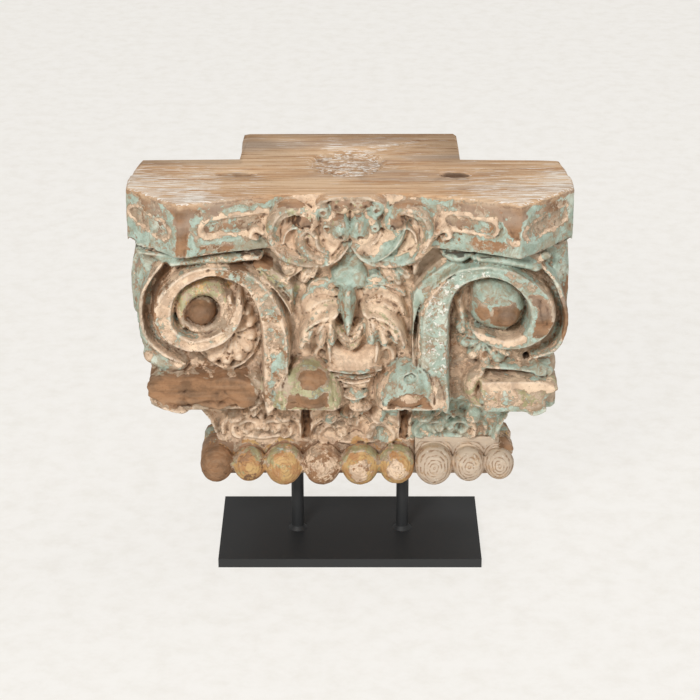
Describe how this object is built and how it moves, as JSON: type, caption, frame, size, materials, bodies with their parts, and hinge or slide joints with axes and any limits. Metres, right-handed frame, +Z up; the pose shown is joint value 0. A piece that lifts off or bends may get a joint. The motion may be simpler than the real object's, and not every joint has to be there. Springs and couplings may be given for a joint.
{
  "type": "carved timber pilaster capital on a display stand",
  "caption": "Carved and painted timber pilaster capital with corner volutes, vase of foliage and bead row, held up on a flat steel display stand.",
  "frame": {"origin": "centre of the base plate's underside, on the surface the stand stands on", "axes": "+X to the right along the width, +Y back towards the wall side, +Z up; the carved front faces -Y"},
  "size_m": [0.425, 0.219, 0.4],
  "materials": {
    "painted_timber": "worn verdigris, cream and ochre paint over carved timber, top and back bare",
    "bare_timber": "greyed timber with worn limewash, unvarnished",
    "black_steel": "satin black powder coat on steel"
  },
  "bodies": {
    "root": {"capital": "painted_timber", "repair_bead_strip": "bare_timber", "stand_plate": "black_steel", "rod_left": "black_steel", "rod_right": "black_steel"}
  },
  "joints": []
}
